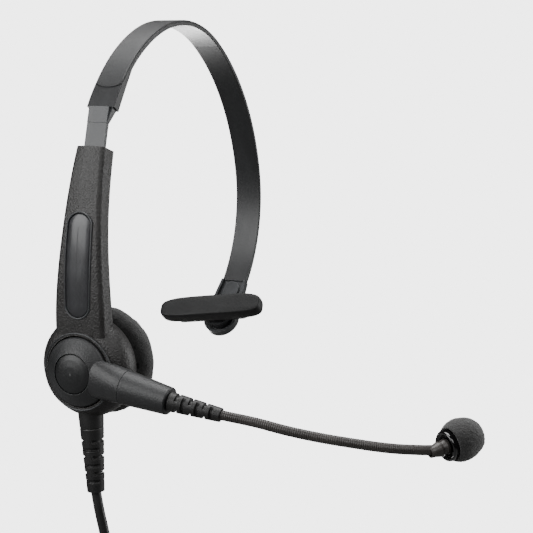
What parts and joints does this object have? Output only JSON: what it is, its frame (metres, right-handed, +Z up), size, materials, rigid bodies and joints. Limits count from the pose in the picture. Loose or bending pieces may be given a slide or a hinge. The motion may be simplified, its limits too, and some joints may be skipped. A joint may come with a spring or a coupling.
{
  "type": "office headset",
  "caption": "Black monaural over-the-head office headset with a foam ear cushion, sliding band, temple pad, swivelling gooseneck microphone and a hanging corded lead.",
  "frame": {"origin": "centre of the ear cushion's face, where it rests on the ear", "axes": "+X from the ear cushion into the head towards the temple pad, +Z up, -Y forward, the way the microphone boom points"},
  "size_m": [0.1697, 0.1875, 0.3311],
  "materials": {
    "shell_plastic": "fine leather grain, satin matt",
    "boom_plastic": "fine satin texture",
    "gloss_inlay": "glossy",
    "strip_plastic": "smooth satin",
    "band_plastic": "semi-gloss",
    "band_skin": "satin",
    "slide_plastic": "smooth",
    "inner_plastic": "matt",
    "gloss_black": "high gloss",
    "black_rubber": "matt",
    "pad_rubber": "matt, soft",
    "gooseneck_skin": "ribbed, satin",
    "cord_jacket": "satin",
    "cushion_foam": "fine open foam",
    "mic_foam": "fine open foam",
    "felt": "felt",
    "steel": "plain",
    "copper": "copper wire",
    "board": "circuit board",
    "tie_plastic": "coated wire",
    "plug_plastic": "satin",
    "pin_metal": "gold plated",
    "insulator": "smooth"
  },
  "bodies": {
    "housing": {"ear_cushion": "cushion_foam", "baffle_plate": "inner_plastic", "speaker_frame": "steel", "speaker_cone": "inner_plastic", "voice_coil": "copper", "speaker_magnet": "steel", "acoustic_felt": "felt", "housing_shell": "shell_plastic", "housing_back": "shell_plastic", "stem_back": "shell_plastic", "stem_inlay": "gloss_inlay", "housing_screws": "steel", "terminal_board": "board", "friction_washer": "slide_plastic", "detent_spring": "steel", "cord_boot": "black_rubber", "cord": "cord_jacket", "cord_hank": "cord_jacket", "hank_tie": "tie_plastic", "cord_tail": "cord_jacket", "plug_boot": "black_rubber", "plug_body": "plug_plastic", "plug_pin": "pin_metal", "plug_insulators": "insulator"},
    "headband": {"slider_strip": "strip_plastic", "slider_stop": "slide_plastic", "headband": "band_plastic", "headband_skin": "band_skin", "strip_collar": "strip_plastic", "pad_bracket": "strip_plastic", "bracket_latch": "strip_plastic"},
    "pad_ball": {"ball_stud": "slide_plastic"},
    "temple_pad_body": {"pad_plate": "inner_plastic", "temple_pad": "pad_rubber"},
    "boom": {"boom_boss": "boom_plastic", "retaining_clip": "steel", "pivot_cap": "boom_plastic", "boom_collar": "boom_plastic", "boom_strain_relief": "black_rubber", "gooseneck_1": "gooseneck_skin"},
    "goose_2": {"gooseneck_2": "gooseneck_skin"},
    "goose_3": {"gooseneck_3": "gooseneck_skin"},
    "goose_4": {"gooseneck_4": "gooseneck_skin"},
    "goose_5": {"gooseneck_5": "gooseneck_skin"},
    "goose_6": {"gooseneck_6": "gooseneck_skin"},
    "microphone": {"gooseneck_7": "gooseneck_skin", "mic_sleeve": "gooseneck_skin", "mic_cup": "gloss_black", "mic_capsule": "steel", "windscreen": "mic_foam"}
  },
  "joints": [
    {"name": "headband_slide", "type": "slide", "parent": "housing", "child": "headband", "axis": [0.2588, 0, 0.9659], "range_m": [-0.01, 0.012]},
    {"name": "boom_swivel", "type": "hinge", "parent": "housing", "child": "boom", "pos_m": [-0.0268, 0, -0.001], "axis": [1, 0, 0], "range_deg": [-35, 35]},
    {"name": "gooseneck_side_1", "type": "hinge", "parent": "boom", "child": "goose_2", "pos_m": [-0.0216, -0.0792, -0.0142], "axis": [0, 0, 1], "range_deg": [-15, 15]},
    {"name": "gooseneck_lift_1", "type": "hinge", "parent": "goose_2", "child": "goose_3", "pos_m": [-0.0193, -0.092, -0.0166], "axis": [0.9766, 0.2152, 0], "range_deg": [-12, 12]},
    {"name": "gooseneck_side_2", "type": "hinge", "parent": "goose_3", "child": "goose_4", "pos_m": [-0.016, -0.1046, -0.0187], "axis": [0, 0, 1], "range_deg": [-15, 15]},
    {"name": "gooseneck_lift_2", "type": "hinge", "parent": "goose_4", "child": "goose_5", "pos_m": [-0.0114, -0.1164, -0.0206], "axis": [0.904, 0.4275, 0], "range_deg": [-12, 12]},
    {"name": "gooseneck_side_3", "type": "hinge", "parent": "goose_5", "child": "goose_6", "pos_m": [-0.0054, -0.127, -0.0226], "axis": [0, 0, 1], "range_deg": [-15, 15]},
    {"name": "gooseneck_lift_3", "type": "hinge", "parent": "goose_6", "child": "microphone", "pos_m": [0.001, -0.136, -0.024], "axis": [0.799, 0.6013, 0], "range_deg": [-12, 12]},
    {"name": "pad_tilt", "type": "hinge", "parent": "headband", "child": "pad_ball", "pos_m": [0.09774, 0, 0.00104], "axis": [0, 1, 0], "range_deg": [-18, 18]},
    {"name": "pad_roll", "type": "hinge", "parent": "pad_ball", "child": "temple_pad_body", "pos_m": [0.09774, 0, 0.00104], "axis": [-0.757, 0, 0.6534], "range_deg": [-18, 13]}
  ],
  "couplings": [
    {"joint": "gooseneck_side_2", "follows": "gooseneck_side_1", "ratio": 1},
    {"joint": "gooseneck_side_3", "follows": "gooseneck_side_1", "ratio": 1},
    {"joint": "gooseneck_lift_2", "follows": "gooseneck_lift_1", "ratio": 1},
    {"joint": "gooseneck_lift_3", "follows": "gooseneck_lift_1", "ratio": 1}
  ]
}
